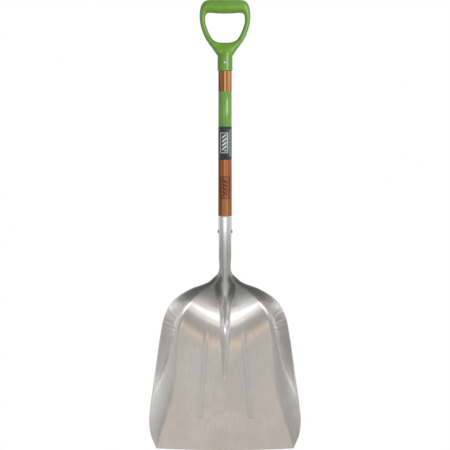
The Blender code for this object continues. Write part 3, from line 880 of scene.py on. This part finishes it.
def make_floor():
    top = CAD_BOUNDS[0][2] - FLOOR_DROP
    under = top - FLOOR_THICKNESS
    profile = [(0, top), (FLOOR_RADIUS, top), (FLOOR_RADIUS, under), (0, under)]
    floor = lathe("floor", profile, pale_floor())
    floor.visible_glossy = False


def make_light(lit, name, place, aim, size, energy, mirrored):
    data = bpy.data.lights.new(name, "AREA")
    data.shape = "RECTANGLE"
    data.size, data.size_y = size
    data.energy = energy
    light = bpy.data.objects.new(name, data)
    bpy.context.scene.collection.objects.link(light)
    light.location = place
    light.rotation_euler = (Vector(place) - Vector(aim)).to_track_quat("Z", "Y").to_euler()
    light.visible_glossy = mirrored
    light.light_linking.receiver_collection = lit


# Studio round the shovel, by height of the direction (-1 straight down, 1 straight up)
STUDIO_FRONT = (
    (-1.00, (0.25, 0.26, 0.255)), (-0.87, (0.26, 0.275, 0.27)), (-0.75, (0.27, 0.28, 0.275)),
    (-0.60, (0.27, 0.28, 0.275)), (-0.45, (0.36, 0.37, 0.36)), (-0.30, (0.66, 0.66, 0.66)),
    (-0.20, (1.25, 1.25, 1.26)), (-0.10, (2.30, 2.30, 2.32)), (-0.01, (2.20, 2.20, 2.20)),
    (0.05, (1.15, 1.15, 1.15)), (0.12, (0.66, 0.655, 0.65)), (0.22, (0.40, 0.395, 0.385)),
    (0.34, (0.33, 0.32, 0.31)), (0.46, (0.47, 0.455, 0.44)), (0.52, (0.515, 0.505, 0.495)),
    (1.00, (0.66, 0.66, 0.66)),
)
STUDIO_SIDES = (
    (-1.00, (0.32, 0.33, 0.325)), (-0.87, (0.36, 0.37, 0.365)), (-0.65, (0.50, 0.50, 0.50)),
    (-0.40, (0.80, 0.80, 0.80)), (-0.20, (0.90, 0.90, 0.90)), (-0.08, (0.78, 0.78, 0.78)),
    (0.06, (0.66, 0.66, 0.66)), (0.20, (0.50, 0.50, 0.50)), (0.30, (0.47, 0.46, 0.45)),
    (0.45, (0.49, 0.475, 0.46)), (0.60, (0.52, 0.51, 0.50)), (1.00, (0.66, 0.66, 0.66)),
)
STUDIO_BEHIND = (0.86, 0.86, 0.86)
STUDIO_LEFT = (0.33, 0.295, 0.265)
STUDIO_RIGHT = (0.70, 0.68, 0.66)
WARM_PATCH = (1.60, 1.12, 0.70)
WARM_HEIGHT = 0.445
DIFFUSE_LIGHT = (0.30, 0.30, 0.30)
BACKDROP = (1.0, 1.0, 1.0)


def make_world():
    """White to the camera, even in diffuse light. Mirrored: a bright band in front, a grey room beside it."""
    n = Nodes("studio", bpy.data.worlds.new("studio"))
    bpy.context.scene.world = n.material
    n.tree.nodes.clear()
    n.place = n.add("ShaderNodeTexCoord").outputs["Generated"]
    x, y, z = n.xyz()
    height = n.range(z, -1, 1, 0, 1, smooth=False)
    front = n.ramp(height, [((at + 1) / 2, colour) for at, colour in STUDIO_FRONT])
    sides = n.ramp(height, [((at + 1) / 2, colour) for at, colour in STUDIO_SIDES])
    colour = n.mix(n.range(n.math("ABSOLUTE", x), 0.30, 0.56, 1.0, 0.0), sides, front)
    colour = n.mix(n.range(x, -0.1, -0.9, 0.0, 0.42), colour, STUDIO_LEFT)
    colour = n.mix(n.range(x, 0.3, 0.9, 0.0, 0.35), colour, STUDIO_RIGHT)
    colour = n.mix(n.range(y, 0.05, 0.45), colour, STUDIO_BEHIND)
    spots = n.range(n.noise((16, 16, 16), 2, 0.5), 0.42, 0.58, 0.05, 1.0)
    warm = n.math("MULTIPLY", n.box_mask(z, WARM_HEIGHT, 0.040, 0.022), n.box_mask(x, 0.0, 0.12, 0.05))
    colour = n.mix(n.math("MULTIPLY", warm, spots), colour, WARM_PATCH)
    path = n.add("ShaderNodeLightPath")
    dim = n.mix(path.outputs["Is Diffuse Ray"], colour, DIFFUSE_LIGHT)
    shown = n.add("ShaderNodeBackground")
    n.link(n.mix(path.outputs["Is Camera Ray"], dim, BACKDROP), shown.inputs["Color"])
    n.link(shown.outputs[0], n.add("ShaderNodeOutputWorld").inputs["Surface"])


def make_camera():
    data = bpy.data.cameras.new("camera")
    data.sensor_width = SENSOR_WIDTH
    data.lens = SENSOR_WIDTH * CAMERA_DISTANCE / VIEW_WIDTH
    data.clip_end = 5 * CAMERA_DISTANCE
    camera = bpy.data.objects.new("camera", data)
    bpy.context.scene.collection.objects.link(camera)
    camera.location = (0, -CAMERA_DISTANCE, VIEW_MIDDLE_Z)
    camera.rotation_euler = (math.pi / 2, 0, 0)
    bpy.context.scene.camera = camera


def settle(piece, node):
    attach(piece, "root")
    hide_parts(node)


def main():
    make_camera()
    make_world()
    make_floor()
    lit = bpy.data.collections.new("lit")
    for light in LIGHTS:
        make_light(lit, *light)
    steel = rivet_steel()
    settle(make_scoop(aluminium()), "scoop")
    settle(make_shaft(ash_wood()), "handle_shaft")
    settle(make_grip(green_plastic()), "d_grip")
    band = make_wrap("band_film", BAND_RADIUS, BAND_LOW[2], BAND_HIGH[2], green_film())
    settle(band, "colour_band")
    label = make_wrap("label_sleeve", LABEL_RADIUS, LABEL_LOW[2], LABEL_HIGH[2], label_film())
    settle(label, "label_wrap")
    for name in LIT:
        lit.objects.link(bpy.data.objects[name])
    low, high = SOCKET_RIVET_LOW[0], SOCKET_RIVET_HIGH[0]
    rivet = make_rivet("socket_rivet_head", SOCKET_RIVET_Z, "X", low, high, steel)
    settle(rivet, "socket_rivet")
    low, high = GRIP_RIVET_LOW[1], GRIP_RIVET_HIGH[1]
    rivet = make_rivet("grip_rivet_head", GRIP_RIVET_Z, "Y", low, high, steel)
    settle(rivet, "grip_rivet")


main()
bpy.context.scene.view_settings.view_transform = "Standard"
